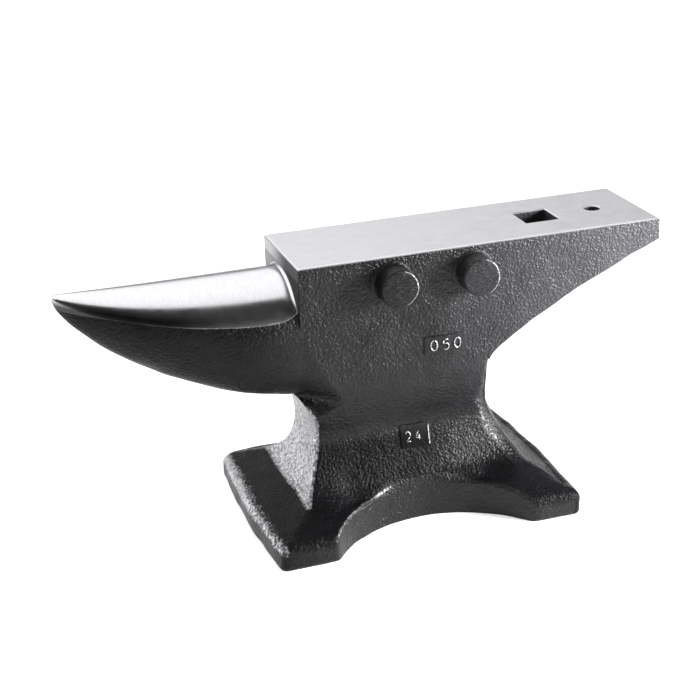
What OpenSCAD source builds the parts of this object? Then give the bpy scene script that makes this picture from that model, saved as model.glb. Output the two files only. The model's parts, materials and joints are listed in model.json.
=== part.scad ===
// Blacksmith's anvil: one conical horn, a flat steel face with a square and a round hole,
// two turning cams on the near side, a necked waist and a base with four feet.
// Millimetres, +Z up. The origin is on the floor, midway along the overall length.
// +X runs toward the heel, and the side with the turning cams faces -Y.

/* [Face] */
// Height of the working face above the floor
face_z = 245.5; // [235:0.5:260]
// Width of the working face
face_w = 99; // [94:1:103]
// X of the step between the face and the horn
step_x = -68; // [-73:1:-62]
// X of the heel's end
heel_x = 260.5; // [245:0.5:270]
// Thickness of the steel face plate
plate_t = 11.5; // [8:0.5:14]
// Width of the bevel around the face plate
bevel = 0.8; // [0.3:0.1:1.5]

/* [Holes] */
// Side of the square hardy hole
hardy_side = 31.5; // [20:0.5:33]
// X of the hardy hole's centre
hardy_x = 165.5; // [156:0.5:172]
// Diameter of the round pritchel hole
pritchel_d = 14.5; // [10:0.5:16]
// X of the pritchel hole's centre
pritchel_x = 220; // [214:1:224]

/* [Horn] */
// Length of the horn from the step to its tip
horn_len = 192.5; // [170:0.5:210]
// Radius of the blunt tip
tip_r = 3; // [1.5:0.1:4]
// Height of the horn's top line where it leaves the step
root_z = 231.5; // [225:0.5:233]
// Height of the horn's underside where it meets the waist
keel_z = 123; // [119:0.5:129]

/* [Waist] */
// Half the thickness of the waist at its narrowest
waist_half = 34; // [30:0.5:38]
// Height where the upper body is welded to the base
weld_z = 90; // [88:1:94]

/* [Base] */
// Length of the base
base_len = 267; // [255:1:281]
// Width of the base
base_w = 198; // [178:1:208]
// Height of the straight rim on the ends, under the rounded edge
rim_h = 12.5; // [8:0.5:16]
// Height of the straight rim on the long sides
side_rim_h = 14; // [8:0.5:16]
// Radius of the rounded edge on the rim
rim_r = 11; // [4:0.5:12]
// Radius of the arch cut into each long side, seen from above
arch_r = 108; // [102:1:115]
// Half the width left between the two arches
arch_half = 51; // [50:0.5:51.5]

/* [Turning cams] */
// Diameter of a turning cam
cam_d = 32.5; // [25:0.5:35]
// How far a cam stands out of the side
cam_out = 19; // [10:1:26]
// X of the cam nearer the horn
cam_x1 = 13.5; // [5:0.5:20]
// X of the cam nearer the heel
cam_x2 = 85.5; // [80:0.5:88]
// Height of the cams' centres
cam_z = 222.5; // [214:0.5:224]

/* [Hidden] */
$fn = 64;

body_top = face_z - plate_t;    // underside of the face plate
body_half = face_w / 2;
heel_seam_x = 100;              // the heel is welded on here
base_mid = 30;                  // middle of the base's length
base_x0 = base_mid - base_len / 2;
base_x1 = base_mid + base_len / 2;
base_half = base_w / 2;
deck_z = 36.5;                  // where the waist's ends leave the top of the base
arch_mid = 32.5;                // X of the deepest point of each arch
foot_in_y = 52;                 // inner faces of the feet
foot_in_x = 53;                 // and their other inner faces, each way from the arch's middle
spigot_d = 18;                  // the cam's spigot, inside the body
spigot_len = 25;
mark_proud = 1;                 // how far the raised marks' pads stand out
digit_proud = 0.9;              // and their digits beyond that
steps = 12;                     // straight pieces in each curved stretch
rim_steps = 5;

// A point on a cubic curve from a to d that leaves towards b and arrives from c
function curve_point(a, b, c, d, t) =
    pow(1 - t, 3) * a + 3 * t * pow(1 - t, 2) * b + 3 * t * t * (1 - t) * c + pow(t, 3) * d;
function curve(a, b, c, d) = [for (i = [0:steps]) curve_point(a, b, c, d, i / steps)];
function reversed(list) = [for (i = [len(list) - 1:-1:0]) list[i]];

// Side outlines, as [x, z]
rim_arc = [for (i = [0:rim_steps]) let (a = 90 * i / rim_steps) rim_r * [1 - cos(a), sin(a)]];
rim_left = [for (p = rim_arc) [base_x0 + p[0], rim_h + p[1]]];
rim_right = [for (p = rim_arc) [base_x1 - p[0], rim_h + p[1]]];
throat_horn = curve([-72, deck_z], [-50, 64.5], [-46, 102], [step_x, keel_z]);
throat_heel = curve([134.5, deck_z], [119, 57.5], [101, 99], [98, 127]);
throat_top = curve([98, 127], [97, 133.5], [97.5, 137.5], [heel_seam_x, 142]);
heel_under = curve([heel_seam_x, 142], [112.5, 160.5], [187.5, 198], [heel_x, body_top - 7.5]);

// Front outline, as [half width, z]
rim_side = [for (p = rim_arc) [base_half - p[0], side_rim_h + p[1]]];
flare = curve([66, 31], [52, 35], [waist_half + 4, 54], [waist_half, 81]);
shoulder = curve([waist_half, 81], [waist_half, 97], [body_half - 2, 108.5], [body_half, 146]);
front_edge = concat([[base_half, 0]], rim_side, flare, shoulder, [[body_half, body_top]]);

module body_colour() { color([0.13, 0.13, 0.14]) children(); }
module steel_colour() { color([0.78, 0.78, 0.8]) children(); }

// Turns an outline drawn in [x, z] into a slab centred on the XZ plane
module along_y(width) { rotate([90, 0, 0]) linear_extrude(width, center = true) children(); }

// Turns an outline drawn in [y, z] into a bar from x0 to x1
module along_x(x0, x1) {
    translate([x0, 0, 0]) rotate([90, 0, 90]) linear_extrude(x1 - x0) children();
}

// The front outline, both halves
module front_outline() {
    polygon(concat(front_edge, [for (p = reversed(front_edge)) [-p[0], p[1]]]));
}

// The side outline of everything under the face plate between the horn and the heel
module side_outline() {
    polygon(concat([[base_x0, 0]], rim_left, throat_horn, [[step_x, body_top], [heel_seam_x, body_top]],
        reversed(throat_top), reversed(throat_heel), reversed(rim_right), [[base_x1, 0]]));
}

// That whole core, before it is divided, with the arches cut into its long sides
module core() {
    difference() {
        intersection() {
            along_x(base_x0 - 1, base_x1 + 1) front_outline();
            along_y(base_w + 2) side_outline();
        }
        for (side = [-1, 1]) translate([arch_mid, side * (arch_half + arch_r), -1])
            cylinder(r = arch_r, h = weld_z, $fn = 128);
    }
}

// The box that one foot is cut from, with its end and side given as -1 or 1
module foot_box(end, side) {
    reach = 200;
    x = arch_mid + (end > 0 ? foot_in_x : -foot_in_x - reach);
    y = side > 0 ? foot_in_y : -foot_in_y - reach;
    translate([x, y, -1]) cube([reach, reach, weld_z]);
}

module foot(end, side) {
    body_colour() intersection() {
        core();
        foot_box(end, side);
    }
}

module foot_horn_near() { foot(-1, -1); }
module foot_horn_far() { foot(-1, 1); }
module foot_heel_near() { foot(1, -1); }
module foot_heel_far() { foot(1, 1); }

module base_block() {
    body_colour() difference() {
        intersection() {
            core();
            translate([-200, -200, -1]) cube([400, 400, weld_z + 1]);
        }
        for (end = [-1, 1]) for (side = [-1, 1]) foot_box(end, side);
    }
}

module upper_body() {
    body_colour() difference() {
        intersection() {
            core();
            translate([-200, -200, weld_z]) cube(400);
        }
        for (x = [cam_x1, cam_x2]) spigot(x);
    }
}

// The hardy hole and the pritchel hole, cut right through the plate and the heel
module tool_holes() {
    translate([hardy_x - hardy_side / 2, -hardy_side / 2, 0]) cube([hardy_side, hardy_side, face_z + 1]);
    translate([pritchel_x, 0, 0]) cylinder(d = pritchel_d, h = face_z + 1);
}

module heel() {
    body_colour() difference() {
        along_y(face_w) polygon(concat(heel_under, [[heel_x, body_top], [heel_seam_x, body_top]]));
        tool_holes();
    }
}

module face_plate() {
    steel_colour() difference() {
        intersection() {
            along_x(step_x, heel_x) polygon([
                [-body_half, body_top], [body_half, body_top], [body_half, face_z - bevel],
                [body_half - bevel, face_z], [bevel - body_half, face_z], [-body_half, face_z - bevel]]);
            along_y(face_w) polygon([
                [step_x, body_top], [heel_x, body_top], [heel_x, face_z - bevel], [heel_x - bevel, face_z],
                [step_x + bevel, face_z], [step_x, face_z - bevel]]);
        }
        tool_holes();
    }
}

// Horn: sections across X from the root (u = 0) to the tip (u = 1)
horn_stations = 22;
horn_sides = 32;
tip_z = body_top - 1.3;         // centre of the blunt tip
function crowded(u) = 1 - pow(1 - u, 1.6);
function horn_x(u) = step_x - horn_len * u;
function horn_half(u) = tip_r + (body_half - tip_r) * pow(1 - u * u, 0.85);
function horn_top(u) = root_z + (tip_z + tip_r - root_z) * pow(u, 2.9);
function horn_keel(u) = tip_z - tip_r - (tip_z - tip_r - keel_z) * pow(1 - pow(u, 1.54), 0.74);
function horn_brow(u) = min(horn_half(u) * 0.88, (horn_top(u) - horn_keel(u)) / 2);
// One section: a round brow above the widest point, and a deeper egg-shaped belly under it
function horn_point(u, a) =
    let (brow = horn_brow(u), mid = horn_top(u) - brow, belly = mid - horn_keel(u), s = sin(a), c = cos(a))
    [horn_x(u), horn_half(u) * sign(c) * pow(abs(c), s > 0 ? 0.96 : 0.6), mid + s * (s > 0 ? brow : belly)];

module horn() {
    stations = [for (i = [0:horn_stations]) crowded(i / horn_stations)];
    points = [for (u = stations) for (j = [0:horn_sides - 1]) horn_point(u, 360 * j / horn_sides)];
    rings = [for (i = [0:horn_stations - 1]) for (j = [0:horn_sides - 1])
        let (k = (j + 1) % horn_sides, a = i * horn_sides, b = a + horn_sides) [a + j, b + j, b + k, a + k]];
    root = [for (j = [0:horn_sides - 1]) j];
    tip = [for (j = [horn_sides - 1:-1:0]) horn_stations * horn_sides + j];
    steel_colour() polyhedron(points, concat([root], rings, [tip]), convexity = 4);
}

// The spigot that seats a turning cam in the body
module spigot(x) {
    translate([x, -body_half, cam_z]) rotate([-90, 0, 0]) cylinder(d = spigot_d, h = spigot_len);
}

module turning_cam(x) {
    body_colour() {
        translate([x, -body_half, cam_z]) rotate([90, 0, 0]) cylinder(d = cam_d, h = cam_out);
        spigot(x);
    }
}

module turning_cam_horn_side() { turning_cam(cam_x1); }
module turning_cam_heel_side() { turning_cam(cam_x2); }

// The bars that make up each digit from 0 to 5, in the order top, upper right, lower right,
// bottom, lower left, upper left, middle
digit_bars = [[1, 1, 1, 1, 1, 1, 0], [0, 1, 1, 0, 0, 0, 0], [1, 1, 0, 1, 1, 0, 1],
    [1, 1, 1, 1, 0, 0, 1], [0, 1, 1, 0, 0, 1, 1], [1, 0, 1, 1, 0, 1, 1]];
// One digit of the given size, drawn in [x, z] with its lower left corner at the origin
module digit(n, w, h, stroke) {
    half = h / 2;
    corners = [[0, h - stroke], [w - stroke, half], [w - stroke, 0], [0, 0], [0, 0], [0, half],
        [0, half - stroke / 2]];
    for (i = [0:6]) if (digit_bars[n][i] == 1)
        translate(corners[i]) square(i % 3 == 0 ? [w, stroke] : [stroke, half]);
}

weight_corner = [40, 153];      // lower left corner of the pad, as [x, z]
weight_size = [38.5, 16];
weight_digits = [0, 5, 0];
weight_digit = [6.5, 10];       // width and height of a digit
weight_pitch = 10.5;
// A raised pad on the flat of the near side, with the weight in kilograms on it
module weight_mark() {
    count = len(weight_digits);
    first = (weight_size[0] - weight_pitch * (count - 1) - weight_digit[0]) / 2;
    body_colour() translate([weight_corner[0], -body_half, weight_corner[1]]) rotate([90, 0, 0]) {
        linear_extrude(mark_proud) square(weight_size);
        linear_extrude(mark_proud + digit_proud) for (i = [0:count - 1])
            translate([first + weight_pitch * i, 3])
                digit(weight_digits[i], weight_digit[0], weight_digit[1], 1.7);
    }
}

casting_corner = [22, 62.5];
casting_size = [28, 21];
casting_digits = [2, 4];
// A skin of the given thickness on the near side of the waist, inside the mark's outline
module casting_skin(thickness) {
    x0 = casting_corner[0];
    x1 = x0 + casting_size[0];
    difference() {
        intersection() {
            translate([0, -thickness, 0]) along_x(x0, x1) front_outline();
            translate([x0 - 1, -base_half, casting_corner[1]])
                cube([casting_size[0] + 2, base_half, casting_size[1]]);
        }
        along_x(x0 - 1, x1 + 1) front_outline();
    }
}

// A raised pad low on the waist, with two digits and an upright bar
module casting_mark() {
    body_colour() {
        casting_skin(mark_proud);
        intersection() {
            casting_skin(mark_proud + digit_proud);
            translate([casting_corner[0], 0, casting_corner[1]]) rotate([90, 0, 0])
                linear_extrude(base_half) {
                    for (i = [0:1]) translate([4 + 9 * i, 5.5]) digit(casting_digits[i], 5.5, 9.5, 1.5);
                    translate([25, 1]) square([1.7, casting_size[1] - 2]);
                }
        }
    }
}

face_plate();
upper_body();
heel();
horn();
base_block();
foot_horn_near();
foot_horn_far();
foot_heel_near();
foot_heel_far();
turning_cam_horn_side();
turning_cam_heel_side();
weight_mark();
casting_mark();
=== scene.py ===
import json
import math

import bmesh
import bpy
import numpy as np
from mathutils import Matrix, Vector

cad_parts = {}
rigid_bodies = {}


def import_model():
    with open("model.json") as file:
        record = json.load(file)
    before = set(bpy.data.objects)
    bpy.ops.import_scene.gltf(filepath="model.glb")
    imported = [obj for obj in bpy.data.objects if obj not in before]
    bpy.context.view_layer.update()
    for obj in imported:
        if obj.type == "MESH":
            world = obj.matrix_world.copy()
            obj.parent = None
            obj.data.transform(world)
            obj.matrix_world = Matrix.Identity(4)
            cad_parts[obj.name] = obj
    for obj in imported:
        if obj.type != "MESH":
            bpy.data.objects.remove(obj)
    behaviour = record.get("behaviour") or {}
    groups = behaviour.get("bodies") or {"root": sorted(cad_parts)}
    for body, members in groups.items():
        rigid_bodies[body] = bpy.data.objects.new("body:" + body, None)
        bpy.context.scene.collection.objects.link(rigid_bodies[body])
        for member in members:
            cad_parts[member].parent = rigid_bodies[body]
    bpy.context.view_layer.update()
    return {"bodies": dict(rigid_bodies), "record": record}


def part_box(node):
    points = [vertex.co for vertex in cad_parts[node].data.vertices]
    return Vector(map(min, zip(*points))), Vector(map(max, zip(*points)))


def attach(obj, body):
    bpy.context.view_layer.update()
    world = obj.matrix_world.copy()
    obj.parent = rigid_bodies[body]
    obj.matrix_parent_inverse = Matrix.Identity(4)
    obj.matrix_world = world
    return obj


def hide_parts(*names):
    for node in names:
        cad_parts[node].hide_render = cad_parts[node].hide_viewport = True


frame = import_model()
root = list(frame["bodies"])[0]
mm = 0.001


def boxMm(node):
    lo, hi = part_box(node)
    return np.array(lo) / mm, np.array(hi) / mm


# Everything is placed from the CAD boxes, in millimetres until it goes into a mesh
plateLo, plateHi = boxMm("face_plate")
blockLo, blockHi = boxMm("base_block")
nearFootLo, nearFootHi = boxMm("foot_horn_near")
hornLo, heelLo, heelFootLo = (boxMm(node)[0] for node in ("horn", "heel", "foot_heel_near"))
stepX, heelEnd, halfFace = plateLo[0], plateHi[0], plateHi[1]
faceTop, bodyTop = plateHi[2], plateLo[2]
hornTip, keelZ = hornLo[0], hornLo[2]
weldZ, baseLeft, baseRight, halfBase = blockHi[2], blockLo[0], blockHi[0], -nearFootLo[1]
footY, footLeft, footRight = nearFootHi[1], nearFootHi[0], heelFootLo[0]
archMid = (footLeft + footRight) / 2
heelSeam, heelBottom = heelLo[0], heelLo[2]
heel = {
    "root": heelBottom - 4,  # height where its underside leaves the body
    "rootOut": 1.6,  # how far the throat stands past the seam there
    "edge": 3.2,  # rounding of its lower edges
    "endDrop": 8.5,  # thickness under the plate at the far end
    "stations": 110,
    "around": 20,
}


# Small tools for surfaces
def bezier(a, b, c, d, count=60):
    # the usual cubic from a to d, drawn toward the handles b and c
    t = np.linspace(0, 1, count)[:, None]
    a, b, c, d = (np.array(p, float) for p in (a, b, c, d))
    return a * (1 - t) ** 3 + 3 * b * t * (1 - t) ** 2 + 3 * c * t**2 * (1 - t) + d * t**3


def quarterArc(centre, radius, start, end, count=16):
    # centre plus radius times (cosine, sine), from one angle to the other
    angle = np.radians(np.linspace(start, end, count))[:, None]
    return np.array(centre, float) + radius * np.hstack([np.cos(angle), np.sin(angle)])


def outline(parts, reach, step=0.25):
    # an outline of (offset, height): joined, stepped evenly by length, then averaged over a short reach
    points = np.vstack([np.atleast_2d(np.array(p, float)) for p in parts])
    keep = np.r_[True, np.linalg.norm(np.diff(points, axis=0), axis=1) > 1e-6]
    points = points[keep]
    length = np.r_[0, np.cumsum(np.linalg.norm(np.diff(points, axis=0), axis=1))]
    even = np.arange(0, length[-1], step)
    dense = np.stack([np.interp(even, length, points[:, k]) for k in (0, 1)], -1)
    half = max(1, int(reach / step))
    window = np.hanning(2 * half + 3)
    padded = np.vstack([np.repeat(dense[:1], half + 1, 0), dense, np.repeat(dense[-1:], half + 1, 0)])
    return np.stack([np.convolve(padded[:, k], window / window.sum(), "valid") for k in (0, 1)], -1)


def offsetAt(line, height):
    return np.interp(height, line[:, 1], line[:, 0])


def smoothStep(low, high, value):
    # 0 below low, 1 above high, and three t squared less two t cubed between
    t = np.clip((value - low) / (high - low), 0, 1)
    return t * t * (3 - 2 * t)


def softLeast(a, b, round):
    # half the sum less half the root of the squared gap plus a square that rounds the meeting
    return 0.5 * (a + b - np.sqrt((a - b) ** 2 + round**2))


def gridFaces(rows, columns):
    # quads from each ring to the next, round to the first column again
    i = np.arange(rows - 1)[:, None] * columns
    j = np.arange(columns)[None, :]
    k = (j + 1) % columns
    return np.stack([i + j, i + k, i + columns + k, i + columns + j], -1).reshape(-1, 4)


def capFaces(first, columns):
    # a ring is closed by quads between the points that face each other across it
    j = np.arange(columns // 2 - 1)
    return np.stack([first + j, first + columns - 1 - j, first + columns - 2 - j, first + j + 1], -1)


def loft(rings):
    rows, columns = rings.shape[:2]
    faces = np.vstack([
        gridFaces(rows, columns),
        capFaces(0, columns),
        capFaces((rows - 1) * columns, columns)[:, ::-1],
    ])
    return rings.reshape(-1, 3), faces


def joined(shapes):
    # several closed shapes as one set of points and faces
    starts = np.cumsum([0] + [len(points) for points, _ in shapes[:-1]])
    points = np.vstack([points for points, _ in shapes])
    return points, np.vstack([faces + start for (_, faces), start in zip(shapes, starts)])


def roundedRectangle(halfX, halfY, radius, perSide=8, perCorner=6):
    # four quarter circles with straight sides between, stepped the same number of times each
    parts = []
    for k, (sx, sy) in enumerate([(1, 1), (-1, 1), (-1, -1), (1, -1)]):
        angle = np.radians(90 * k + np.linspace(0, 90, perCorner))
        corner = np.stack([sx * (halfX - radius) + radius * np.cos(angle),
                           sy * (halfY - radius) + radius * np.sin(angle)], -1)
        parts.append(corner)
        following = [(-1, 1), (-1, -1), (1, -1), (1, 1)][k]
        angle = math.radians(90 * (k + 1))
        target = np.array([following[0] * (halfX - radius) + radius * math.cos(angle),
                           following[1] * (halfY - radius) + radius * math.sin(angle)])
        share = np.linspace(0, 1, perSide + 2)[1:-1, None]
        parts.append(corner[-1] * (1 - share) + target * share)
    return np.vstack(parts)


# Slow unevenness of the casting
casting = {
    "waves": 22,  # sine waves that are added up
    "shortest": 9.0,  # wavelength, mm
    "longest": 60.0,
    "height": 0.0052,  # height of a wave as a share of its length
    "seed": 11,
}
rng = np.random.default_rng(casting["seed"])
waveLength = np.geomspace(casting["shortest"], casting["longest"], casting["waves"])
waveWay = rng.normal(size=(casting["waves"], 3))
waveWay *= (2 * np.pi / waveLength / np.linalg.norm(waveWay, axis=1))[:, None]
wavePhase = rng.uniform(0, 2 * np.pi, casting["waves"])
wavePush = rng.normal(size=(casting["waves"], 3))
wavePush *= (casting["height"] * waveLength / np.linalg.norm(wavePush, axis=1))[:, None]

horn = {
    "tipRadius": 3.0,
    "rootTop": bodyTop - 2.5,  # height of the top line where it leaves the step
    "sides": 0.85,  # powers of the outline seen from above and from the side
    "keelIn": 1.54,
    "keelOut": 0.74,
    "topRise": 2.9,
    "brow": 0.88,  # height of the upper half of a section as a share of its half width
    "upperPower": 0.96,
    "lowerPower": 0.6,
    "fillet": 3.0,  # small fillet where the top meets the step
    "stations": 190,
    "around": 144,
}


paintLine = {
    "drop": 35,  # the paint's edge on the horn lies this far under the body's top
    "atStep": 8,  # quick rise at the step, and the length over which it dies away
    "stepReach": 9,
    "slope": 0.02,
    "curve": 0.0005,
    "atTip": 3,  # further rise toward the tip
}


def paintEdge(distance):
    # height of the paint's edge: a slow parabola toward the tip and a quick rise at the step
    slow = (paintLine["slope"] * distance + paintLine["curve"] * distance**2
            + paintLine["atTip"] * smoothStep(80, 160, distance))
    quick = paintLine["atStep"] * np.exp(-distance / paintLine["stepReach"])
    return bodyTop - paintLine["drop"] + quick + slow


def uneven(points):
    # each point is pushed by the sum of the waves at its place, less where the steel is ground
    push = np.sin(points @ waveWay.T + wavePhase) @ wavePush
    distance = np.maximum(stepX - points[:, 0], 0)
    onHorn = smoothStep(-2, -14, points[:, 2] - paintEdge(distance))
    onBody = smoothStep(bodyTop - 3, bodyTop - 18, points[:, 2])
    byStep = smoothStep(stepX + 14, stepX, points[:, 0])
    calm = onBody * (1 - byStep) + np.minimum(onHorn, onBody) * byStep
    push *= calm[:, None]
    push[:, 2] *= smoothStep(0, 8, points[:, 2])
    return points + push


# Waist and base: one body of level rings, cut at the weld seams
core = {
    "archRadius": 108.0,
    "archHalf": 51.0,  # half the width left between the two arches
    "archEdge": 3.2,  # rounding where the arch meets the top of the base
    "rimHeight": 12.5,  # straight part of the ends, under the rounded edge
    "sideRim": 14.0,
    "rimRadius": 11.0,
    "deckZ": 36.5,  # height where the waist rises from the base
    "waistHalf": 34.0,
    "cornerRadius": 5.0,  # upright edges seen from above
    "heelCornerRadius": 17.0,  # the same under the heel
    "rootReach": 40.0,  # length over which the horn's belly widens into the body
    "keelFlat": 17.0,  # half width of the waist's end where it meets the horn's keel
    "keelReach": 12,  # half reach of the averaging at the horn's keel, in half millimetres
    "endOut": 3.2,  # the ends of the base stand this far past the CAD box
    "endBulge": 5.0,  # how far the middle of each end stands out past its corners
    "foot": 1.3,  # rounding of the bottom edge
    "ridge": 0.9,  # height of the parting line on the heel side
    "ridgeWidth": 0.07,  # as a share of the corner
    "endPoints": 24,
    "cornerPoints": 28,
    "sidePoints": 160,
}
deckZ, waistHalf, rim = core["deckZ"], core["waistHalf"], core["rimRadius"]
baseLeft, baseRight = baseLeft - core["endOut"], baseRight + core["endOut"]
hornThroat = outline([
    [(baseLeft + core["foot"], 0), (baseLeft, core["foot"]), (baseLeft, core["rimHeight"])],
    quarterArc((baseLeft + rim, core["rimHeight"]), rim, 180, 90),
    bezier((stepX - 4, deckZ), (stepX + 18, deckZ + 28), (stepX + 22, keelZ - 21), (stepX, keelZ)),
    [(stepX, bodyTop)],
], 1.0)
heelThroat = outline([
    [(baseRight - core["foot"], 0), (baseRight, core["foot"]), (baseRight, core["rimHeight"])],
    quarterArc((baseRight - rim, core["rimHeight"]), rim, 0, 90),
    bezier((heelSeam + 37, deckZ), (heelSeam + 21, deckZ + 21), (heelSeam + 4, 97), (heelSeam + 1.2, 121)),
    bezier((heelSeam + 1.2, 121), (heelSeam + 0.5, 127), (heelSeam + 0.7, 133),
           (heelSeam + heel["rootOut"], heel["root"])),
    [(heelSeam, heel["root"] + 0.2), (heelSeam, bodyTop)],
], 0.3)
sideFoot = [(halfBase - core["foot"], 0), (halfBase, core["foot"]), (halfBase, core["sideRim"])]
sideEdge = quarterArc((halfBase - rim, core["sideRim"]), rim, 0, 90)
shoulder = bezier((waistHalf, 81), (waistHalf, 97), (halfFace - 2, 108.5), (halfFace, 146))
sideAtEnds = outline([
    sideFoot, sideEdge,
    bezier((64.5, deckZ), (47, deckZ + 9.5), (waistHalf + 0.5, deckZ + 24), (waistHalf, 81)),
    shoulder, [(halfFace, bodyTop)],
], 2.0)
sideAtMiddle = outline([
    sideFoot, sideEdge, [(60, 31)],
    bezier((60, 31), (52, 34), (39, 54), (waistHalf, 81)),
    shoulder, [(halfFace, bodyTop)],
], 2.0)


def archLimit(x):
    # distance of the arch's wall from the middle line: a circle that is open outward
    centre = core["archHalf"] + core["archRadius"]
    inside = core["archRadius"] ** 2 - (x - archMid) ** 2
    return np.where(inside > 0, centre - np.sqrt(np.maximum(inside, 0)), 4 * halfBase)


def sideHalf(x, z):
    # half width of the body: the outline at the ends blended into the outline at the middle
    atEnd = np.maximum(smoothStep(-25, -60, x), smoothStep(90, 125, x))
    return offsetAt(sideAtMiddle, z) * (1 - atEnd) + offsetAt(sideAtEnds, z) * atEnd


def hornSection(u):
    # half width, top and keel of the horn at a share u of its length
    tip = bodyTop - 1.3
    halfWidth = horn["tipRadius"] + (halfFace - horn["tipRadius"]) * (1 - u * u) ** horn["sides"]
    top = horn["rootTop"] + (tip + horn["tipRadius"] - horn["rootTop"]) * u ** horn["topRise"]
    drop = tip - horn["tipRadius"] - keelZ
    keel = tip - horn["tipRadius"] - drop * (1 - u ** horn["keelIn"]) ** horn["keelOut"]
    brow = np.minimum(halfWidth * horn["brow"], (top - keel) / 2)
    return halfWidth, top, keel, brow


def rootHalf(z):
    # half width of the horn's section at the step for heights under its widest line
    halfWidth, top, keel, brow = hornSection(np.array(0.0))
    middle = top - brow
    s = np.clip((middle - z) / (middle - keel), 0, 1)
    lower = halfWidth * np.sqrt(np.maximum(1 - s * s, 0)) ** horn["lowerPower"]
    return np.where(z < middle, lower, halfWidth)


def coreRings():
    # level rings, closest together where the base rounds into the waist
    z = np.unique(np.round(np.concatenate([
        [0, 0.4, 0.8, 1.3], np.arange(2.5, 12, 1.2), np.arange(12, 22, 0.7), np.arange(22, 38, 0.3),
        np.arange(38, bodyTop, 1.25), heel["root"] + np.array([-0.2, 0, 0.2]), [bodyTop],
    ]), 4))[:, None]
    left, right = offsetAt(hornThroat, z), offsetAt(heelThroat, z)
    endWidth = offsetAt(sideAtEnds, z)
    r = core["cornerRadius"]
    # horn side: the flat of the end, and how far the corner runs along X
    flow = smoothStep(100, keelZ, z)
    under = z < keelZ
    topFade = np.clip((bodyTop - 48 - z) / (bodyTop - 48 - keelZ), 0, 1)
    flatLeft = np.where(under, endWidth - r - (endWidth - core["keelFlat"] - r) * flow**1.5,
                        np.minimum(np.maximum(rootHalf(z), core["keelFlat"]), endWidth))
    # near the keel the flat is averaged over height, so the belly meets the waist without a crease
    level = np.arange(keelZ - 60, keelZ + 60, 0.5)
    kernel = np.hanning(2 * core["keelReach"] + 3)[1:-1]
    eased = np.convolve(np.interp(level, z[:, 0], flatLeft[:, 0]), kernel / kernel.sum(), mode="same")
    share = smoothStep(keelZ + 16, keelZ + 5, z) * smoothStep(keelZ - 40, keelZ - 25, z)
    flatLeft = flatLeft + (np.interp(z, level, eased) - flatLeft) * share
    flatLeft = np.minimum(flatLeft, endWidth - 0.7 * smoothStep(bodyTop - 45, bodyTop - 30, z))
    runLeft = np.where(under, r + (core["rootReach"] - r) * flow, 0.8 + (core["rootReach"] - 0.8) * topFade)
    sShape = smoothStep(104, 128, z)
    # heel side: the corner fades out where the heel's rounded lower edge takes over
    heelCorner = np.clip((z - heel["root"]) / heel["edge"], 0, 1)
    heelFlat = halfFace - heel["edge"] * (1 - np.sqrt(np.maximum(1 - (1 - heelCorner) ** 2, 0)))
    over = z > heel["root"]
    wide = smoothStep(22, 31, z) * smoothStep(heel["root"] - 1, heel["root"] - 56, z)
    rRight = r + (core["heelCornerRadius"] - r) * wide
    flatRight = np.where(over, np.minimum(heelFlat, endWidth), endWidth - rRight)
    runRight = np.where(over, r + (0.5 - r) * heelCorner, rRight)

    n, m, k = core["endPoints"], core["cornerPoints"], core["sidePoints"]
    endShare = (np.arange(n)[None, :] + 0.5) / n
    t = np.arange(m)[None, :] / m
    angle = t * np.pi / 2
    s = t**3 * (10 - 15 * t + 6 * t**2)

    def corner(flat, run, mix):
        # a quarter ellipse, or where mix is 1 an easy S from the flat's width to the full width
        along = run * ((1 - np.cos(angle)) * (1 - mix) + t * mix)
        width = flat + (endWidth - flat) * (np.sin(angle) * (1 - mix) + s * mix)
        return along, width

    alongLeft, widthLeft = corner(flatLeft, runLeft, sShape)
    alongRight, widthRight = corner(flatRight, runRight, np.zeros_like(z))
    # the parting line left by the mould stands up from the heel side corner as a thin ridge
    ridge = core["ridge"] * np.exp(-(((t - 0.5) / core["ridgeWidth"]) ** 2))
    ridge = ridge * smoothStep(36, 42, z) * smoothStep(132, 122, z)
    alongRight, widthRight = alongRight - ridge * 0.7, widthRight + ridge * 0.7
    sideX = left + runLeft + (right - runRight - left - runLeft) * np.linspace(0, 1, k)[None, :]
    x = np.hstack([left + 0 * endShare, left + alongLeft, sideX, (right - alongRight)[:, ::-1],
                   right + 0 * endShare])
    y = np.hstack([flatLeft * endShare, widthLeft, sideHalf(sideX, z), widthRight[:, ::-1],
                   (flatRight * endShare)[:, ::-1]])
    low = 1 - smoothStep(20, deckZ, z)
    crown = core["endBulge"] * low * (1 - np.minimum(y / endWidth, 1) ** 2)
    x = x - crown * np.clip(1 - (x - left) / 40, 0, 1) + crown * np.clip(1 - (right - x) / 40, 0, 1)
    y = softLeast(y, archLimit(x), core["archEdge"] * (1 - smoothStep(55, 75, z)) + 0.01)
    y = np.maximum(y, 0.05)
    height = z + 0 * x
    near = np.stack([x, -y, height], -1)
    far = np.stack([x, y, height], -1)[:, ::-1]
    return np.concatenate([near, far], 1)


wearAndGlintShare = {"archEdge": 0.85, "rim": 0.74, "facet": 0.74, "corner": 0.42}
dullAndShadeShare = {"slope": 0.85, "belly": 0.75, "step": 0.9, "heelSide": 0.9}


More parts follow.
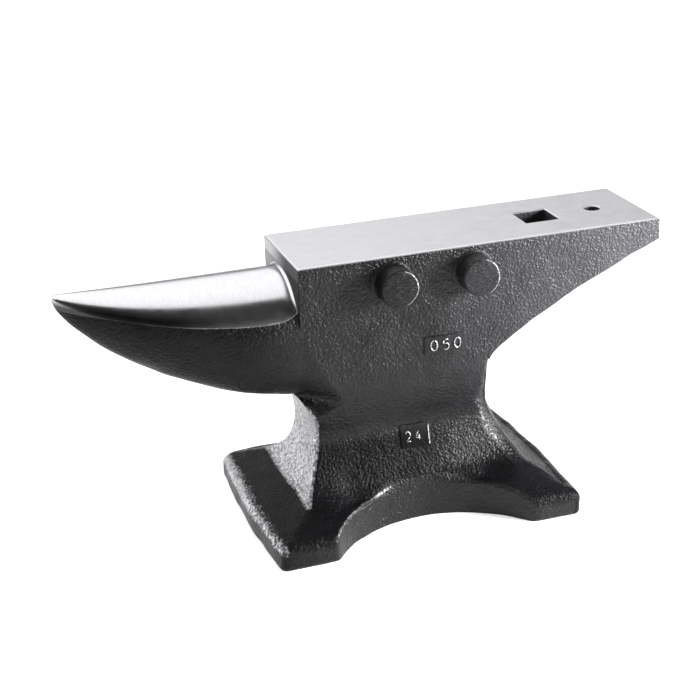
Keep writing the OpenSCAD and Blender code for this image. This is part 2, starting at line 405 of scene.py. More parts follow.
def wearAndGlintAt(points):
    # wear, with painted highlights, gathers where the arch cuts the top of the base, most toward the horn,
    # with a little on the rounded rim of the horn end, brighter toward the far side
    x, y, z = points.T
    gap = sideHalf(x, z) - archLimit(x)
    archEdge = np.exp(-((gap / 2.3) ** 2)) * smoothStep(62, 40, z) * smoothStep(16, 24, z)
    archEdge *= 0.35 + 0.65 * smoothStep(20, -15, x)
    rimWearAndGlint = smoothStep(baseLeft + 14, baseLeft + 3, x) * np.exp(-(((z - 18.5) / 6.5) ** 2))
    rimWearAndGlint *= 0.8 + 0.3 * smoothStep(-70, 40, y)
    # the end of the waist under the horn is thinly painted, so the grey of the casting comes through, and
    # this grey also stands in as a painted reflection of the light glancing off this end
    facet = smoothStep(4.5, 1.5, x - offsetAt(hornThroat, z))
    facet = facet * smoothStep(33.5, 36.5, z) * smoothStep(126, 105, z)
    # painted highlight: thin bright specks along the upright corner under the heel, where the light from
    # the right catches it
    inward = offsetAt(heelThroat, z) - x
    corner = np.exp(-(((inward - 13) / 7) ** 2)) * smoothStep(42, 56, z) * smoothStep(122, 96, z)
    corner *= smoothStep(0.55, 0.8, np.abs(y) / waistHalf)
    wornAndGlint = (wearAndGlintShare["archEdge"] * archEdge + wearAndGlintShare["rim"] * rimWearAndGlint
            + wearAndGlintShare["facet"] * facet + wearAndGlintShare["corner"] * corner)
    return np.clip(wornAndGlint, 0, 1)


def bareAt(points):
    # signed distance in mm into ground steel: above the paint's edge, on the step and on the face
    x, y, z = points.T
    onHorn = z - paintEdge(np.maximum(stepX - x, 0))
    onStep = np.minimum(stepX + 0.45 - x, z - (bodyTop - 27))
    onFace = z - (faceTop - 1.2)
    return np.maximum(np.where(x < stepX - 0.5, onHorn, onStep), onFace)


def dullAndShadeAt(points):
    # the paint is dull, its reflection turned down as painted shade, on the top of the base and on the foot
    # of the waist toward the horn
    x, y, z = points.T
    clear = smoothStep(2, 6, archLimit(x) - np.abs(y))
    deck = smoothStep(8, 22, z) * smoothStep(48, 39, z) * clear
    slope = dullAndShadeShare["slope"] * smoothStep(84, 72, z) * smoothStep(36, 40, z) * smoothStep(85, 35, x)
    # it is dull under the horn too, and on the step's face a painted shade grows toward the near side
    painted = smoothStep(0.5, -0.5, bareAt(points))
    belly = dullAndShadeShare["belly"] * smoothStep(stepX + 15, stepX - 55, x) * painted
    onStep = (np.abs(x - stepX) < 0.5) * (z > bodyTop - 40) * (z < faceTop - 1)
    step = dullAndShadeShare["step"] * smoothStep(38, -25, y) * onStep
    inward = offsetAt(heelThroat, z) - x
    heelSide = dullAndShadeShare["heelSide"] * smoothStep(7.5, 4.5, inward) * smoothStep(118, 100, z)
    return np.maximum.reduce([deck, slope, belly, step, heelSide])


def dress(mesh, wearAndGlint=None):
    # what the finishes need to know at each point
    points = np.empty(len(mesh.vertices) * 3, np.float32)
    mesh.vertices.foreach_get("co", points)
    points = points.reshape(-1, 3) / mm
    if wearAndGlint is None:
        wearAndGlint = wearAndGlintAt(points)
    distance = np.maximum(stepX - points[:, 0], 0)
    # darker steel: on the horn just above the paint's edge, growing toward the tip, partly paint overspray
    # and partly painted shade; on the step's face all painted shade, darker toward the near side
    stainAndShade = smoothStep(11, 3, points[:, 2] - paintEdge(distance)) * smoothStep(25, 110, distance)
    onStep = (np.abs(points[:, 0] - stepX) < 0.5) & (points[:, 2] < faceTop - 0.7)
    stainAndShade = np.where(onStep, 0.66 + 0.34 * smoothStep(40, -20, points[:, 1]), stainAndShade)
    layers = {"wearAndGlint": wearAndGlint, "bare": bareAt(points), "stainAndShade": stainAndShade, "dullAndShade": dullAndShadeAt(points)}
    for name, values in layers.items():
        layer = mesh.attributes.get(name) or mesh.attributes.new(name, "FLOAT", "POINT")
        layer.data.foreach_set("value", (values + np.zeros(len(points))).astype(np.float32))


def toMesh(name, shape):
    points, faces = shape
    mesh = bpy.data.meshes.new(name)
    mesh.from_pydata((points * mm).tolist(), [], faces.tolist())
    bm = bmesh.new()
    bm.from_mesh(mesh)
    bmesh.ops.recalc_face_normals(bm, faces=bm.faces)
    bm.to_mesh(mesh)
    bm.free()
    return mesh


def wholeEnds(mesh, columns):
    # the ends of a loft become one face each, so that cutting it leaves no slits
    bm = bmesh.new()
    bm.from_mesh(mesh)
    bm.faces.ensure_lookup_table()
    count = columns // 2 - 1
    total = len(bm.faces)
    ends = [bm.faces[total - 2 * count:total - count], bm.faces[total - count:]]
    for faces in ends:
        bmesh.ops.dissolve_faces(bm, faces=faces)
    bm.to_mesh(mesh)
    bm.free()


def addPiece(name, mesh, node, material, sharp=38, wearAndGlint=None):
    dress(mesh, wearAndGlint)
    mesh.polygons.foreach_set("use_smooth", np.ones(len(mesh.polygons), bool))
    mesh.set_sharp_from_angle(angle=math.radians(sharp))
    piece = bpy.data.objects.new(name, mesh)
    bpy.context.scene.collection.objects.link(piece)
    mesh.materials.clear()
    mesh.materials.append(material)
    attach(piece, root)
    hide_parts(node)
    return piece


def carve(mesh, cutterShape):
    # takes a closed cutter away from a mesh, exactly
    holder = bpy.data.objects.new("holder", mesh)
    cutter = bpy.data.objects.new("cutter", toMesh("cutter", cutterShape))
    for item in (holder, cutter):
        bpy.context.scene.collection.objects.link(item)
    cut = holder.modifiers.new("cut", "BOOLEAN")
    cut.operation, cut.solver, cut.object = "DIFFERENCE", "EXACT", cutter
    bpy.context.view_layer.update()
    solved = holder.evaluated_get(bpy.context.evaluated_depsgraph_get())
    result = bpy.data.meshes.new_from_object(solved)
    for item in (holder, cutter):
        old = item.data
        bpy.data.objects.remove(item)
        bpy.data.meshes.remove(old)
    return result


def halve(bm, point, normal, clear):
    # cuts along a plane, and where clear is set drops what lies outside and closes the cut
    geometry = bm.verts[:] + bm.edges[:] + bm.faces[:]
    cut = bmesh.ops.bisect_plane(bm, geom=geometry, dist=1e-7, plane_co=Vector(point) * mm,
                                 plane_no=normal, clear_outer=clear)
    if clear:
        edges = [e for e in cut["geom_cut"] if isinstance(e, bmesh.types.BMEdge)]
        filled = bmesh.ops.edgenet_fill(bm, edges=edges)["faces"]
        bmesh.ops.triangulate(bm, faces=filled)


def closeCorner(bm, x, y, outX):
    # the two upright walls left open where a foot meets the block share one upright edge
    spot = Vector((x, y, 0)) * mm
    touch = 1e-6  # metres

    def onWall(v, axis, other, way):
        return abs(v.co[axis] - spot[axis]) < touch and (v.co[other] - spot[other]) * way > -touch

    ends = [v for v in bm.verts
            if abs(v.co.x - spot.x) < touch and abs(v.co.y - spot.y) < touch and v.is_boundary]
    shared = bm.edges.get(ends[:2]) or bm.edges.new(ends[:2])
    for wall in ((0, 1, 1 if y > 0 else -1), (1, 0, outX)):
        edges = [e for e in bm.edges
                 if e.is_boundary and e != shared and all(onWall(v, *wall) for v in e.verts)]
        filled = bmesh.ops.edgenet_fill(bm, edges=edges + [shared])["faces"]
        bmesh.ops.triangulate(bm, faces=filled)


def meshFrom(bm, name):
    bmesh.ops.dissolve_degenerate(bm, edges=bm.edges, dist=1e-7)
    bmesh.ops.recalc_face_normals(bm, faces=bm.faces)
    mesh = bpy.data.meshes.new(name)
    bm.to_mesh(mesh)
    bm.free()
    return mesh


# Finishes
def addNode(tree, kind, inputs=(), **settings):
    made = tree.nodes.new(kind)
    for key, value in settings.items():
        setattr(made, key, value)
    for key, value in dict(inputs).items():
        if isinstance(value, bpy.types.NodeSocket):
            tree.links.new(value, made.inputs[key])
        else:
            made.inputs[key].default_value = value
    return made


def sums(tree, operation, a, b, c=None):
    made = addNode(tree, "ShaderNodeMath", {0: a, 1: b}, operation=operation)
    if c is not None:
        made.inputs[2].default_value = c
    return made.outputs[0]


def ramp(tree, value, low, high, toLow, toHigh, kind="LINEAR"):
    return addNode(tree, "ShaderNodeMapRange",
                   {"Value": value, "From Min": low, "From Max": high, "To Min": toLow, "To Max": toHigh},
                   interpolation_type=kind, clamp=True).outputs["Result"]


def blendColour(tree, share, a, b):
    # the mix node keeps its colours in sockets 6 and 7 and gives the result in 2
    return addNode(tree, "ShaderNodeMix", {0: share, 6: a, 7: b}, data_type="RGBA").outputs[2]


def blendNumber(tree, share, a, b):
    return addNode(tree, "ShaderNodeMix", {0: share, 2: a, 3: b}, data_type="FLOAT").outputs[0]


def grain(tree, where, sizeMm, detail=2.0, rough=0.5, stretch=(1, 1, 1)):
    # noise whose grains are about sizeMm across, longer along an axis whose stretch is below 1
    place = addNode(tree, "ShaderNodeMapping", {"Vector": where, "Scale": stretch}).outputs["Vector"]
    return addNode(tree, "ShaderNodeTexNoise", {
        "Vector": place, "Scale": 1 / (sizeMm * mm), "Detail": detail, "Roughness": rough,
    }).outputs["Fac"]


def makeFinish(name, look):
    material = bpy.data.materials.new(name)
    material.use_nodes = True
    tree = material.node_tree
    tree.nodes.clear()
    where = addNode(tree, "ShaderNodeTexCoord").outputs["Object"]
    bare, wearAndGlint, stainAndShade, dullAndShade = (addNode(tree, "ShaderNodeAttribute", attribute_name=layer).outputs["Fac"]
                               for layer in ("bare", "wearAndGlint", "stainAndShade", "dullAndShade"))

    # ragged edge of the paint, in millimetres
    ragged = grain(tree, where, look["raggedSize"], 3.0, 0.6, look["raggedWay"])
    shifted = sums(tree, "MULTIPLY_ADD", ragged, look["ragged"] * 2, -look["ragged"])
    bareMask = ramp(tree, sums(tree, "ADD", bare, shifted), -look["edgeSoft"], look["edgeSoft"], 0, 1)

    # paint: pebbled, uneven in gloss, slightly lighter in patches
    pebble = grain(tree, where, look["pebble"], 2.5, 0.55, look["pebbleWay"])
    fine = grain(tree, where, look["pebble"] * 0.3, 2.0, 0.5)
    patch = grain(tree, where, look["patchSize"], 3.0, 0.6)
    paint = blendColour(tree, ramp(tree, patch, 0.35, 0.7, 0, 1), look["paint"], look["paintLight"])
    place = addNode(tree, "ShaderNodeSeparateXYZ", {"Vector": where})
    # painted light: toward the heel and high up the paint is blended into a lighter grey, as if lit there
    heelward = sums(tree, "ADD", place.outputs["X"], sums(tree, "MULTIPLY", patch, 0.06))
    heelLight = sums(tree, "MULTIPLY", ramp(tree, heelward, *look["heelLightX"], 0, 1),
                 ramp(tree, place.outputs["Z"], *look["heelLightZ"], 0.1, 1))
    paint = blendColour(tree, heelLight, paint, look["paintHeelLight"])
    mottled = sums(tree, "ADD", patch, sums(tree, "MULTIPLY", fine, 0.6))
    paintRough = ramp(tree, mottled, 0.5, 1.1, *look["gloss"])
    paintHeight = sums(tree, "ADD", sums(tree, "MULTIPLY", pebble, look["pebbleHeight"]),
                       sums(tree, "MULTIPLY", fine, look["pebbleHeight"] * look["fineShare"]))

    # steel: fine lines left by the grinding, with cloudy patches
    lines = grain(tree, where, look["lineSize"], 3.0, 0.65, look["lineWay"])
    cloud = grain(tree, where, look["cloudSize"], 3.0, 0.6)
    steel = blendColour(tree, ramp(tree, lines, 0.3, 0.7, 0, 1), look["steel"], look["steelLight"])
    # overspray and painted shade darken the steel
    steel = blendColour(tree, ramp(tree, stainAndShade, 0, 1, 0, 0.93), steel, look["stainedAndShaded"])
    steelRough = sums(tree, "ADD", ramp(tree, cloud, 0.3, 0.75, *look["satin"]),
                      sums(tree, "MULTIPLY", lines, look["lineRough"]))
    steelRough = sums(tree, "ADD", steelRough, sums(tree, "MULTIPLY", dullAndShade, 0.4))
    steelHeight = sums(tree, "MULTIPLY", lines, look["lineHeight"])

    # worn spots and painted highlights on the edges, broken up by the pebbles
    broken = sums(tree, "ADD", wearAndGlint, sums(tree, "MULTIPLY", pebble, 0.9))
    wornAndGlintMask = ramp(tree, broken, 0.85, 1.15, 0, look["wornAndGlint"])
    scrapedAndGlint = blendColour(tree, ramp(tree, pebble, 0.38, 0.6, 0, 1), look["wornShade"], look["wornAndGlintColour"])
    colour = blendColour(tree, wornAndGlintMask, paint, scrapedAndGlint)
    colour = blendColour(tree, bareMask, colour, steel)
    # where the dull mask is set the steel loses its metal and the paint its reflection: duller paint, and
    # painted shade
    metal = sums(tree, "MULTIPLY", bareMask, ramp(tree, dullAndShade, 0, 1, 1, 0.1))
    metal = sums(tree, "MAXIMUM", metal, sums(tree, "MULTIPLY", wornAndGlintMask, look["wornMetal"]))
    rough = blendNumber(tree, wornAndGlintMask, paintRough, look["wornRough"])
    rough = blendNumber(tree, bareMask, rough, steelRough)
    height = blendNumber(tree, bareMask, sums(tree, "ADD", paintHeight, look["coat"]), steelHeight)
    bump = addNode(tree, "ShaderNodeBump", {"Height": height, "Strength": look["bump"], "Distance": mm})
    shader = addNode(tree, "ShaderNodeBsdfPrincipled", {
        "Base Color": colour, "Metallic": metal, "Roughness": rough, "Normal": bump.outputs["Normal"],
        "IOR": look["ior"], "Specular IOR Level": ramp(tree, dullAndShade, 0, 1, 0.5, 0.12),
    })
    out = addNode(tree, "ShaderNodeOutputMaterial")
    tree.links.new(shader.outputs[0], out.inputs["Surface"])
    return material


paintLook = {
    "paint": (0.0025, 0.0025, 0.003, 1),
    "paintLight": (0.006, 0.006, 0.007, 1),
    "patchSize": 26,  # mm, of the lighter and duller patches
    "paintHeelLight": (0.06, 0.061, 0.068, 1),  # painted light: lighter paint toward the heel and higher up, where the light falls
    "heelLightX": (0.07, 0.30),  # metres along the anvil from none to all of it
    "heelLightZ": (0.08, 0.17),
    "coat": 0.12,  # thickness of the paint, mm
    "gloss": (0.24, 0.38),  # roughness, shiny and dull patches
    "ior": 1.37,
    "pebble": 2.5,  # size of the noise that makes the pebbles, about two pebbles, mm
    "pebbleHeight": 1.4,  # mm
    "pebbleWay": (1, 1, 1),
    "fineShare": 0.14,  # height of the fine grain as a share of the pebbles'
    "bump": 1.0,
    "ragged": 0.35,  # how far the paint's edge wanders, mm
    "raggedSize": 2.2,
    "raggedWay": (1, 0.5, 0.35),
    "edgeSoft": 0.12,  # mm
    "steel": (0.17, 0.17, 0.18, 1),
    "steelLight": (0.25, 0.25, 0.26, 1),
    # darkest steel colour, for overspray and painted shade
    "stainedAndShaded": (0.014, 0.014, 0.015, 1),
    "satin": (0.26, 0.36),
    "cloudSize": 14,  # mm, of the smoother and rougher patches
    "lineSize": 0.5,
    "lineRough": 0.10,
    "lineHeight": 0.012,
    "lineWay": (1, 0.05, 0.05),
    # the worn spots' colour, metal and roughness also serve the painted highlights on the edges
    "wornAndGlint": 0.8,
    "wornMetal": 0.85,
    "wornRough": 0.36,
    "wornAndGlintColour": (0.42, 0.42, 0.435, 1),
    "wornShade": (0.17, 0.17, 0.18, 1),  # in the hollows between the pebbles
}
bodyPaint = makeFinish("blackCastingPaint", paintLook)
camPaint = makeFinish("blackCamPaint", {
    **paintLook, "pebble": 1.8, "pebbleHeight": 1.3, "pebbleWay": (0.3, 1, 0.9), "ior": 1.33, "wornAndGlint": 0.9,
})
markPaint = makeFinish("blackMarkPaint", {
    **paintLook, "pebble": 2.0, "pebbleHeight": 0.6,
    "wornAndGlint": 1.0, "wornAndGlintColour": (0.5, 0.5, 0.51, 1), "wornShade": (0.3, 0.3, 0.31, 1),
})
hornSteel = makeFinish("brushedHornSteel", {
    **paintLook, "ragged": 0.9, "steel": (0.60, 0.60, 0.62, 1), "steelLight": (0.70, 0.70, 0.72, 1),
    "satin": (0.13, 0.20), "lineHeight": 0.006, "lineRough": 0.06,
})
faceSteel = makeFinish("groundFaceSteel", {
    **paintLook, "ragged": 0.1, "steel": (0.60, 0.595, 0.62, 1), "steelLight": (0.72, 0.715, 0.74, 1),
    "satin": (0.30, 0.38), "lineSize": 0.7, "lineWay": (0.06, 1, 1), "lineHeight": 0.008,
})
print("finishes made")

# The casting
points, faces = loft(coreRings())
whole = toMesh("whole", (uneven(points), faces))


def fromWhole():
    bm = bmesh.new()
    bm.from_mesh(whole)
    return bm


upper = fromWhole()
halve(upper, (0, 0, weldZ), (0, 0, -1), True)
addPiece("upperBody", meshFrom(upper, "upperBody"), "upper_body", bodyPaint)

footPlaces = {
    "foot_horn_near": ("hornNearFoot", footLeft, footY, -1),
    "foot_horn_far": ("hornFarFoot", footLeft, -footY, -1),
    "foot_heel_near": ("heelNearFoot", footRight, footY, 1),
    "foot_heel_far": ("heelFarFoot", footRight, -footY, 1),
}


def cutBase():
    bm = fromWhole()
    halve(bm, (0, 0, weldZ), (0, 0, 1), True)
    for y in (footY, -footY):
        halve(bm, (0, y, 0), (0, 1, 0), False)
    for x in (footLeft, footRight):
        halve(bm, (x, 0, 0), (1, 0, 0), False)
    return bm


def inFoot(face, x, y, outX):
    centre = face.calc_center_median() / mm
    return (centre.x - x) * outX > 0 and (centre.y - y) * (1 if y > 0 else -1) > 0


for node, (name, x, y, outX) in footPlaces.items():
    bm = cutBase()
    bmesh.ops.delete(bm, geom=[f for f in bm.faces if not inFoot(f, x, y, outX)], context="FACES")
    closeCorner(bm, x, y, outX)
    addPiece(name, meshFrom(bm, name), node, bodyPaint)
bm = cutBase()
gone = [f for f in bm.faces if any(inFoot(f, x, y, outX) for _, x, y, outX in footPlaces.values())]
bmesh.ops.delete(bm, geom=gone, context="FACES")
for _, x, y, outX in footPlaces.values():
    closeCorner(bm, x, y, outX)
addPiece("baseBlock", meshFrom(bm, "baseBlock"), "base_block", bodyPaint)
bpy.data.meshes.remove(whole)
print("waist, base and feet made")


# Horn
def hornShape():
    # at each station a section of two part ellipses; the last few millimetres close as a ball
    length = stepX - hornTip
    share = np.linspace(0, 1, horn["stations"])
    distance = length * (1 - (1 - share) ** 1.6)
    distance[-1] = length - 0.01
    distance = np.unique(np.concatenate([np.arange(0, 4, 0.35), distance]))[:, None]
    u = distance / length
    halfWidth, top, keel, brow = hornSection(np.minimum(u, 1))
    angle = (np.arange(horn["around"]) + 0.5)[None, :] / horn["around"] * 2 * np.pi - np.pi / 2
    s, c = np.sin(angle), np.cos(angle)
    power = np.where(s > 0, horn["upperPower"], horn["lowerPower"])
    y = halfWidth * np.sign(c) * np.abs(c) ** power
    middle = top - brow
    z = middle + np.where(s > 0, brow * s, (middle - keel) * s)
    ball = horn["tipRadius"] * 1.3
    close = np.sqrt(np.maximum(1 - np.maximum(1 - (length - distance) / ball, 0) ** 2, 1e-4))
    heart = (top + keel) / 2
    y, z = y * close, heart + (z - heart) * close
    # fillet: within its radius of the step the upper half swells as a quarter circle
    r = horn["fillet"]
    near = np.clip(1 - distance / r, 0, 1)
    swell = r * (1 - np.sqrt(np.maximum(1 - near**2, 0))) * smoothStep(0.15, 0.5, s) * 0.8
    y, z = y + swell * c, z + swell * s
    x = stepX - distance + 0 * y
    return loft(np.stack([x, y, z], -1))


points, faces = hornShape()
addPiece("hornCone", toMesh("hornCone", (uneven(points), faces)), "horn", hornSteel, wearAndGlint=0)
print("horn made")

# Holes, heel and face plate
holes = {
    "hardySide": 31.5,
    "hardyCorner": 0.8,
    "pritchelRadius": 7.25,
    "chamfer": 0.7,
}
hardyMount = next(m for m in frame["record"]["mounts"] if m["name"] == "hardy_hole")
pritchelMount = next(m for m in frame["record"]["mounts"] if m["name"] == "pritchel_hole")
hardyX, pritchelX = hardyMount["pos_m"][0] / mm, pritchelMount["pos_m"][0] / mm


def holeCutter(ringAt, x):
    # straight up from under the heel, then flared at 45 degrees past the face to leave a chamfer
    rings = []
    past = 3  # mm beyond the face
    for height, grow in ((heelBottom - 10, 0), (faceTop - holes["chamfer"], 0),
                         (faceTop + past, past + holes["chamfer"])):
        ring = ringAt(grow)
        rings.append(np.column_stack([ring[:, 0] + x, ring[:, 1], np.full(len(ring), height)]))
    return loft(np.array(rings))


def squareRing(grow):
    half = holes["hardySide"] / 2 + grow
    return roundedRectangle(half, half, holes["hardyCorner"] + grow, 6, 6)


def roundRing(grow):
    angle = (np.arange(64) + 0.5) / 64 * 2 * np.pi
    return (holes["pritchelRadius"] + grow) * np.stack([np.cos(angle), np.sin(angle)], -1)


heelUnder = outline([
    [(heelSeam, heel["root"])],
    bezier((heelSeam + heel["rootOut"], heel["root"]), (heelSeam + 8, heel["root"] + 17),
           (heelEnd - 70, bodyTop - 37), (heelEnd, bodyTop - heel["endDrop"])),
], 0.3)


def heelShape():
    # each station is a closed ring: a flat top, upright sides and a floor with rounded lower edges
    x = np.linspace(heelSeam, heelEnd - 0.01, heel["stations"])[:, None]
    floor = np.interp(x, heelUnder[:, 0], heelUnder[:, 1])
    drop = bodyTop - floor
    r = np.minimum(heel["edge"], drop * 0.6)
    n = heel["around"]
    across = (np.arange(n)[None, :] + 0.5) / n
    angle = (np.arange(n)[None, :] + 0.5) / n * np.pi / 2
    up = np.linspace(0, 1, 26)[None, :]
    y = np.hstack([across * (halfFace - r), halfFace - r + r * np.sin(angle), halfFace + 0 * up * x,
                   (across * halfFace)[:, ::-1] + 0 * x])
    z = np.hstack([floor + 0 * across, floor + r - r * np.cos(angle), floor + r + (drop - r) * up,
                   bodyTop + 0 * across * x])
    x = x + 0 * y
    nearHalf = np.stack([x, -y, z], -1)
    return loft(np.concatenate([nearHalf, np.stack([x, y, z], -1)[:, ::-1]], 1))


points, faces = heelShape()
heelMesh = toMesh("heelBlock", (uneven(points), faces))
wholeEnds(heelMesh, len(points) // heel["stations"])
heelMesh = carve(carve(heelMesh, holeCutter(squareRing, hardyX)), holeCutter(roundRing, pritchelX))
addPiece("heelBlock", heelMesh, "heel", bodyPaint)

plate = {
    "bevel": 1.4,  # height of the dressed edge
    "flare": 1.9,  # how far it comes in at the face
    "corner": 0.9,
}


def plateShape():
    # upright sides, a bevel rounded at both ends, and the flat face
    length, middle = (heelEnd - stepX) / 2, (heelEnd + stepX) / 2
    b = plate["bevel"]
    rings = []
    for height, inset in ((bodyTop, 0), (faceTop - b - 0.3, 0), (faceTop - b, 0.06),
                          (faceTop - 0.55, b * 0.55), (faceTop, plate["flare"])):
        ring = roundedRectangle(length - inset, halfFace - inset, plate["corner"], 60, 5)
        rings.append(np.column_stack([ring[:, 0] + middle, ring[:, 1], np.full(len(ring), height)]))
    return loft(np.array(rings))


plateMesh = toMesh("facePlate", plateShape())
plateMesh = carve(carve(plateMesh, holeCutter(squareRing, hardyX)), holeCutter(roundRing, pritchelX))
addPiece("facePlate", plateMesh, "face_plate", faceSteel, sharp=12, wearAndGlint=0)
print("heel and face plate made")

# Turning cams
cam = {"edge": 1.6, "fillet": 2.6, "dome": 0.25, "around": 96, "sunk": 0.5}


def camShape(node):
    # a profile of (radius, distance out) turned about the cam's own line
    lo, hi = boxMm(node)
    centreX, centreZ = (lo[0] + hi[0]) / 2, (lo[2] + hi[2]) / 2
    radius, front = (hi[0] - lo[0]) / 2, -lo[1]
    out = front - halfFace
    foot = quarterArc((radius + cam["fillet"], cam["fillet"]), cam["fillet"], 270, 180, 8)
    lip = quarterArc((radius - cam["edge"], out - cam["edge"]), cam["edge"], 0, 90, 8)
    face = np.linspace(0.92, 0.02, 10)[:, None] * [radius - cam["edge"], 0]
    face[:, 1] = out + cam["dome"] * (1 - (face[:, 0] / radius) ** 2)
    side = np.column_stack([np.full(10, radius), np.linspace(cam["fillet"], out - cam["edge"], 12)[1:-1]])
    line = np.vstack([[(0.3, -cam["sunk"]), (radius + cam["fillet"], -cam["sunk"])], foot, side, lip, face])
    angle = (np.arange(cam["around"]) + 0.5)[None, :] / cam["around"] * 2 * np.pi
    x = centreX + line[:, :1] * np.cos(angle)
    z = centreZ + line[:, :1] * np.sin(angle)
    y = -(halfFace + line[:, 1:]) + 0 * x
    return loft(np.stack([x, y, z], -1)), (centreX, centreZ, radius, front)


def addCam(name, node):
    (points, faces), (centreX, centreZ, radius, front) = camShape(node)

    def rimWearAndGlint(p):
        # the rounded rim is rubbed bright, with a painted highlight that is strongest toward the heel, on
        # the side the light comes from
        reach = np.hypot(p[:, 0] - centreX, p[:, 2] - centreZ)
        onRim = np.exp(-(((reach - radius + 0.7) / 0.9) ** 2))
        onRim = onRim * np.exp(-(((p[:, 1] + front - 0.5) / 1.2) ** 2))
        side = 0.35 + 0.65 * smoothStep(-0.3, 0.8, (p[:, 0] - centreX) / radius)
        return 0.8 * onRim * side

    mesh = toMesh(name, (uneven(points), faces))
    addPiece(name, mesh, node, camPaint, wearAndGlint=rimWearAndGlint(points))


addCam("hornSideCam", "turning_cam_horn_side")
addCam("heelSideCam", "turning_cam_heel_side")
print("cams made")

# Raised marks
mark = {"pad": 1.0, "digit": 0.9, "corner": 1.5}


def onSide(x, z, out):
    # a point on the near side of the body, standing out from it
    return np.stack([x, -(sideHalf(x, z) + out), z], -1)


def padShape(node):
    # rounded rectangles that shrink and rise to the pad's height
    lo, hi = boxMm(node)
    centreX, centreZ = (lo[0] + hi[0]) / 2, (lo[2] + hi[2]) / 2
    rings = []
    for inset, out in ((0, -1.0), (0, 0.2), (0.15, 0.7), (0.5, 0.95), (1.2, 1.0), (4, 1.0)):
        halfX, halfZ = (hi[0] - lo[0]) / 2 - inset, (hi[2] - lo[2]) / 2 - inset
        ring = roundedRectangle(halfX, halfZ, mark["corner"], 20, 6)
        lift = np.full(len(ring), out * mark["pad"])
        rings.append(onSide(ring[:, 0] + centreX, ring[:, 1] + centreZ, lift))
    return loft(np.array(rings)), lo, hi


def strokeShape(path, width, lift):
    # a low round ridge carried along a path of (x, z): across it a half round, closed at both ends
    path = np.array(path, float)
    way = np.gradient(path, axis=0)
    way /= np.linalg.norm(way, axis=1)[:, None]
    across = np.stack([-way[:, 1], way[:, 0]], -1)
    angle = (np.arange(12) + 0.5) / 12 * 2 * np.pi
    place = np.arange(len(path))
    taper = np.sqrt(np.clip(np.minimum(place + 0.6, len(path) - 0.4 - place) / 2.2, 0, 1))
    x = path[:, :1] + across[:, :1] * np.cos(angle) * width / 2 * taper[:, None]
    z = path[:, 1:] + across[:, 1:] * np.cos(angle) * width / 2 * taper[:, None]
    out = mark["pad"] - 0.2 + np.sin(angle)[None, :] * (lift + 0.2) * taper[:, None]
    return loft(onSide(x, z, out))


def digitPaths(digit, x, z, w, h):
    # the strokes of a plain digit in a box w by h whose lower left corner is at x, z
    def line(points, steps=7):
        points = np.array(points, float) * [w, h] + [x, z]
        parts = [points[i] + (points[i + 1] - points[i]) * np.linspace(0, 1, steps)[:, None]
                 for i in range(len(points) - 1)]
        return np.vstack([parts[0]] + [p[1:] for p in parts[1:]])

    def round(cx, cy, rx, ry, start, end, steps=26):
        angle = np.radians(np.linspace(start, end, steps))
        return np.column_stack([x + (cx + rx * np.cos(angle)) * w, z + (cy + ry * np.sin(angle)) * h])

    if digit == "0":
        return [round(0.5, 0.5, 0.42, 0.45, 90, 455, 34)]
    if digit == "5":
        return [line([(0.88, 0.95), (0.2, 0.95)]), line([(0.16, 0.92), (0.12, 0.56)]),
                round(0.44, 0.33, 0.42, 0.29, 128, -140)]
    if digit == "2":
        return [round(0.48, 0.68, 0.4, 0.27, 165, -40), line([(0.76, 0.47), (0.12, 0.06)]),
                line([(0.1, 0.05), (0.92, 0.05)])]
    return [line([(0.66, 0.95), (0.08, 0.34)]), line([(0.06, 0.32), (0.95, 0.32)]),
            line([(0.7, 0.62), (0.7, 0.02)])]


def addMark(name, node, digits, size, first, pitch, rise, stroke, bar=None):
    pad, lo, hi = padShape(node)
    shapes = [pad]
    for place, digit in enumerate(digits):
        for path in digitPaths(digit, lo[0] + first + pitch * place, lo[2] + rise, *size):
            shapes.append(strokeShape(path, stroke, mark["digit"]))
    if bar is not None:
        upright = np.column_stack([np.full(16, lo[0] + bar), np.linspace(lo[2] + 1, hi[2] - 1, 16)])
        shapes.append(strokeShape(upright, 1.7, mark["digit"]))
    points, faces = joined(shapes)

    def topWear(p):
        # the tops of the digits and of the bar are rubbed bright
        out = -p[:, 1] - sideHalf(p[:, 0], p[:, 2])
        return 0.75 * smoothStep(mark["pad"] + 0.25, mark["pad"] + 0.75, out)

    mesh = toMesh(name, (uneven(points), faces))
    addPiece(name, mesh, node, markPaint, wearAndGlint=topWear(points))


addMark("weightMark", "weight_mark", "050", (6.5, 10), 5.5, 10.5, 3, 1.7)
addMark("castingMark", "casting_mark", "24", (5.5, 9.5), 4, 9, 5.5, 1.5, bar=25.8)
print("marks made")

# Stage: pale floor, soft light, camera
stage = {
    "floorSize": 90.0,  # metres
    "floorColour": (0.9, 0.9, 0.91, 1),
    "floorGlow": 0.42,
    "domeUp": (-0.34, 0.48, 0.84),  # middle of the bright part of the sky
    "domeEdge": (0.50, 0.59),  # cosines of its soft edge
    "domeLight": (1.35, 1.6),  # at its edge and at its middle
    "horizon": 0.12,  # share of it that is left just above the floor
    "roomLight": 0.035,  # the room outside it
    "lowGlow": 0.24,  # pale walls all round, strongest just above the floor
    "softboxes": {
        # place and target in metres, side in metres, power in watts, spread in degrees
        "rightSoftbox": ((1.0, -0.60, 0.44), (0.2, 0, 0.16), 0.34, 8.0, 80),
        "leftSoftbox": ((-1.5, 0.9, 0.25), (0, 0, 0.08), 0.9, 27.0, 180),
    },
}


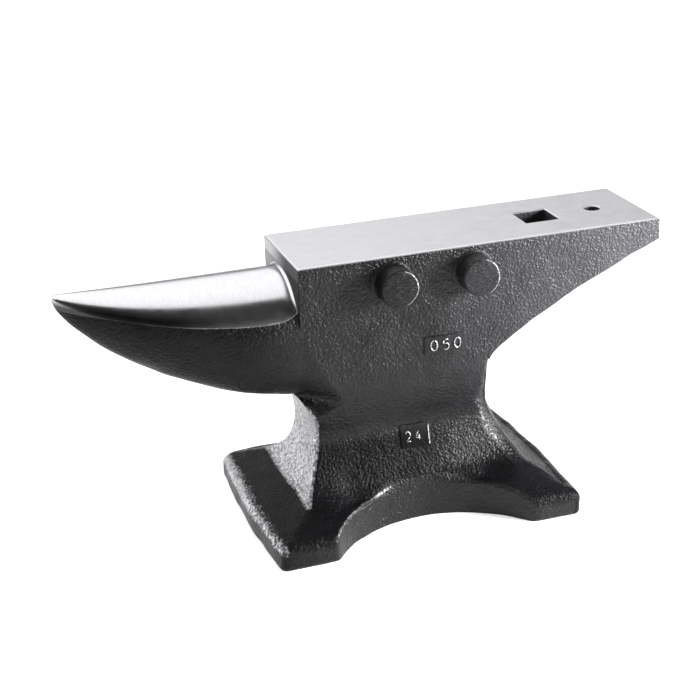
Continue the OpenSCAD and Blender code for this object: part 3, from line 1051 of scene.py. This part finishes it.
def addFloor():
    half = stage["floorSize"] / 2
    corners = [(-half, -half, 0), (half, -half, 0), (half, half, 0), (-half, half, 0)]
    mesh = bpy.data.meshes.new("floor")
    mesh.from_pydata(corners, [], [(0, 1, 2, 3)])
    floor = bpy.data.objects.new("floor", mesh)
    bpy.context.scene.collection.objects.link(floor)
    material = bpy.data.materials.new("paleFloor")
    material.use_nodes = True
    shader = material.node_tree.nodes["Principled BSDF"]
    shader.inputs["Base Color"].default_value = stage["floorColour"]
    shader.inputs["Roughness"].default_value = 0.9
    shader.inputs["Specular IOR Level"].default_value = 0.1
    shader.inputs["Emission Color"].default_value = (1, 1, 1, 1)
    shader.inputs["Emission Strength"].default_value = stage["floorGlow"]
    mesh.materials.append(material)


def addSky():
    # brightness depends only on the angle from the dome's middle
    world = bpy.data.worlds.new("studio")
    bpy.context.scene.world = world
    world.use_nodes = True
    tree = world.node_tree
    tree.nodes.clear()
    way = addNode(tree, "ShaderNodeTexCoord").outputs["Generated"]
    middle = Vector(stage["domeUp"]).normalized()
    product = addNode(tree, "ShaderNodeVectorMath", {0: way, 1: tuple(middle)}, operation="DOT_PRODUCT")
    dot = product.outputs["Value"]
    edge, bright = stage["domeEdge"], stage["domeLight"]
    dome = ramp(tree, dot, *edge, stage["roomLight"], bright[0], "SMOOTHSTEP")
    rise = ramp(tree, dot, edge[1], 0.95, 0, bright[1] - bright[0])
    height = addNode(tree, "ShaderNodeSeparateXYZ", {"Vector": way}).outputs["Z"]
    light = sums(tree, "MULTIPLY", sums(tree, "ADD", dome, rise),
                 ramp(tree, height, 0.12, 0.44, stage["horizon"], 1, "SMOOTHSTEP"))
    light = sums(tree, "ADD", light, ramp(tree, height, 0.02, 0.5, stage["lowGlow"], 0, "SMOOTHSTEP"))
    # what lies behind the object stays as pale as the floor, whatever lights it
    seen = addNode(tree, "ShaderNodeLightPath").outputs["Is Camera Ray"]
    strength = blendNumber(tree, seen, light, 1)
    back = addNode(tree, "ShaderNodeBackground", {"Color": (1, 1, 1, 1), "Strength": strength})
    out = addNode(tree, "ShaderNodeOutputWorld")
    tree.links.new(back.outputs[0], out.inputs["Surface"])


def addSoftbox(name, place, target, size, power, spread):
    light = bpy.data.lights.new(name, "AREA")
    light.shape, light.size, light.energy, light.spread = "SQUARE", size, power, math.radians(spread)
    lamp = bpy.data.objects.new(name, light)
    lamp.visible_camera = False
    bpy.context.scene.collection.objects.link(lamp)
    way = Vector(target) - Vector(place)
    lamp.matrix_world = Matrix.Translation(place) @ way.to_track_quat("-Z", "Y").to_matrix().to_4x4()


def addCamera():
    # heading and dip give the way it looks; the roll turns it about that way
    view = {
        "place": (-0.3981, -1.1959, 0.6718),
        "heading": 18.0,
        "dip": 22.66,
        "roll": -1.97,
        "lens": 80.74,
    }
    heading, dip, roll = (math.radians(view[k]) for k in ("heading", "dip", "roll"))
    ahead = Vector((math.sin(heading) * math.cos(dip), math.cos(heading) * math.cos(dip), -math.sin(dip)))
    level = Vector((math.cos(heading), -math.sin(heading), 0))
    above = level.cross(ahead)
    right = math.cos(roll) * level + math.sin(roll) * above
    up = -math.sin(roll) * level + math.cos(roll) * above
    lens = bpy.data.cameras.new("camera")
    lens.lens, lens.sensor_width, lens.clip_start, lens.clip_end = view["lens"], 36, 0.01, 50
    camera = bpy.data.objects.new("camera", lens)
    bpy.context.scene.collection.objects.link(camera)
    turn = Matrix((right, up, -ahead)).transposed().to_4x4()
    camera.matrix_world = Matrix.Translation(view["place"]) @ turn
    bpy.context.scene.camera = camera


addFloor()
addSky()
for name, box in stage["softboxes"].items():
    addSoftbox(name, *box)
addCamera()
bpy.context.scene.view_settings.view_transform = "Standard"
print("stage made")
